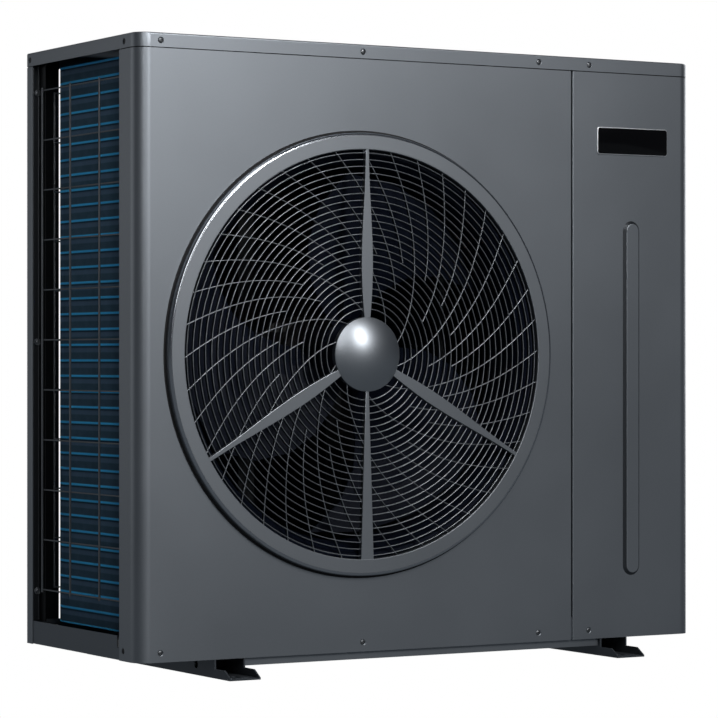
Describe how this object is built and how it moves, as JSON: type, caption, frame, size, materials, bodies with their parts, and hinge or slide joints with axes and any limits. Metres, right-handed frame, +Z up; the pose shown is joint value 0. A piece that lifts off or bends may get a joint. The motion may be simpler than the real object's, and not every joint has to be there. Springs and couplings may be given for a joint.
{
  "type": "swimming pool heat pump",
  "caption": "Free-standing pool heat pump: grey steel cabinet with a round front fan grille, wrap-round blue finned coil, channel feet and side water unions.",
  "frame": {"origin": "on the ground under the centre of the whole unit", "axes": "+Z up; the fan side faces -Y; the finned side face is -X and the water unions leave +X"},
  "size_m": [1.095, 0.493, 0.961],
  "materials": {
    "base_pan": "dark satin powder coat",
    "foot_rail_left": "dark satin powder coat",
    "foot_rail_right": "dark satin powder coat",
    "cross_rail": "dark satin powder coat",
    "front_fan_panel": "satin metallic grey powder coat",
    "service_panel": "satin metallic grey powder coat",
    "top_cover": "satin metallic grey powder coat",
    "right_side_panel": "satin metallic grey powder coat",
    "rear_panel": "satin metallic grey powder coat",
    "rear_left_post": "satin metallic grey powder coat",
    "partition": "galvanised sheet",
    "evaporator_coil": "blue hydrophilic coating",
    "tube_sheet_front": "galvanised sheet",
    "tube_sheet_right": "galvanised sheet",
    "left_guard": "plastic coated wire",
    "rear_guard": "plastic coated wire",
    "suction_header": "copper",
    "distributor": "machined",
    "front_grille": "satin metallic grey",
    "hub_cap": "gloss metallic grey",
    "badge_plate": "gloss black, bare",
    "fan_shroud": "matte",
    "fan_rotor": "matte",
    "motor_shaft": "ground",
    "shaft_nut": "zinc plated",
    "fan_motor": "black enamel",
    "motor_rail_left": "galvanised sheet",
    "motor_rail_right": "galvanised sheet",
    "compressor": "black enamel",
    "compressor_foot_1": "matte",
    "compressor_foot_2": "matte",
    "compressor_foot_3": "matte",
    "accumulator": "black enamel",
    "water_heat_exchanger": "moulded PVC",
    "four_way_valve": "brass body",
    "expansion_valve": "brass body",
    "discharge_pipe": "copper",
    "suction_pipe": "copper",
    "exchanger_gas_pipe": "copper",
    "header_pipe": "copper",
    "liquid_pipe": "copper",
    "evaporator_feed_pipe": "copper",
    "inlet_stub": "moulded PVC",
    "inlet_tail": "moulded PVC",
    "inlet_nut": "moulded PVC",
    "outlet_stub": "moulded PVC",
    "outlet_tail": "moulded PVC",
    "outlet_nut": "moulded PVC",
    "electrical_box": "galvanised sheet",
    "electrical_lid": "galvanised sheet",
    "inverter_board": "laminate",
    "controller_housing": "fine texture",
    "controller_cover": "smoked gloss",
    "display_lens": "gloss, blank",
    "key_power": "silicone key",
    "key_mode": "silicone key",
    "key_set": "silicone key",
    "cable_gland": "nylon"
  },
  "bodies": {
    "cabinet": {"base_pan": "base_pan", "foot_rail_left": "foot_rail_left", "foot_rail_right": "foot_rail_right", "cross_rail": "cross_rail", "front_fan_panel": "front_fan_panel", "service_panel": "service_panel", "top_cover": "top_cover", "right_side_panel": "right_side_panel", "rear_panel": "rear_panel", "rear_left_post": "rear_left_post", "partition": "partition", "evaporator_coil": "evaporator_coil", "tube_sheet_front": "tube_sheet_front", "tube_sheet_right": "tube_sheet_right", "left_guard": "left_guard", "rear_guard": "rear_guard", "suction_header": "suction_header", "distributor": "distributor", "front_grille": "front_grille", "hub_cap": "hub_cap", "badge_plate": "badge_plate", "fan_shroud": "fan_shroud", "fan_motor": "fan_motor", "motor_rail_left": "motor_rail_left", "motor_rail_right": "motor_rail_right", "compressor": "compressor", "compressor_foot_1": "compressor_foot_1", "compressor_foot_2": "compressor_foot_2", "compressor_foot_3": "compressor_foot_3", "accumulator": "accumulator", "water_heat_exchanger": "water_heat_exchanger", "four_way_valve": "four_way_valve", "expansion_valve": "expansion_valve", "discharge_pipe": "discharge_pipe", "suction_pipe": "suction_pipe", "exchanger_gas_pipe": "exchanger_gas_pipe", "header_pipe": "header_pipe", "liquid_pipe": "liquid_pipe", "evaporator_feed_pipe": "evaporator_feed_pipe", "inlet_stub": "inlet_stub", "inlet_tail": "inlet_tail", "outlet_stub": "outlet_stub", "outlet_tail": "outlet_tail", "electrical_box": "electrical_box", "electrical_lid": "electrical_lid", "inverter_board": "inverter_board", "controller_housing": "controller_housing", "display_lens": "display_lens", "cable_gland": "cable_gland"},
    "fan": {"fan_rotor": "fan_rotor", "motor_shaft": "motor_shaft", "shaft_nut": "shaft_nut"},
    "inlet_union_nut": {"inlet_nut": "inlet_nut"},
    "outlet_union_nut": {"outlet_nut": "outlet_nut"},
    "controller_flap": {"controller_cover": "controller_cover"},
    "power_key": {"key_power": "key_power"},
    "mode_key": {"key_mode": "key_mode"},
    "set_key": {"key_set": "key_set"}
  },
  "joints": [
    {"name": "fan_spin", "type": "hinge", "parent": "cabinet", "child": "fan", "pos_m": [-0.16025, -0.13, 0.4845], "axis": [0, 1, 0], "continuous": true},
    {"name": "inlet_nut_turn", "type": "hinge", "parent": "cabinet", "child": "inlet_union_nut", "pos_m": [0.4925, 0.0925, 0.138], "axis": [1, 0, 0], "continuous": true},
    {"name": "outlet_nut_turn", "type": "hinge", "parent": "cabinet", "child": "outlet_union_nut", "pos_m": [0.4925, 0.0925, 0.378], "axis": [1, 0, 0], "continuous": true},
    {"name": "controller_cover_lift", "type": "hinge", "parent": "cabinet", "child": "controller_flap", "pos_m": [0.4745, -0.0325, 0.802], "axis": [0, -1, 0], "range_deg": [0, 110]},
    {"name": "power_key_press", "type": "slide", "parent": "cabinet", "child": "power_key", "axis": [-1, 0, 0], "range_m": [0, 0.0012], "stiffness_N_per_m": 300},
    {"name": "mode_key_press", "type": "slide", "parent": "cabinet", "child": "mode_key", "axis": [-1, 0, 0], "range_m": [0, 0.0012], "stiffness_N_per_m": 300},
    {"name": "set_key_press", "type": "slide", "parent": "cabinet", "child": "set_key", "axis": [-1, 0, 0], "range_m": [0, 0.0012], "stiffness_N_per_m": 300}
  ]
}
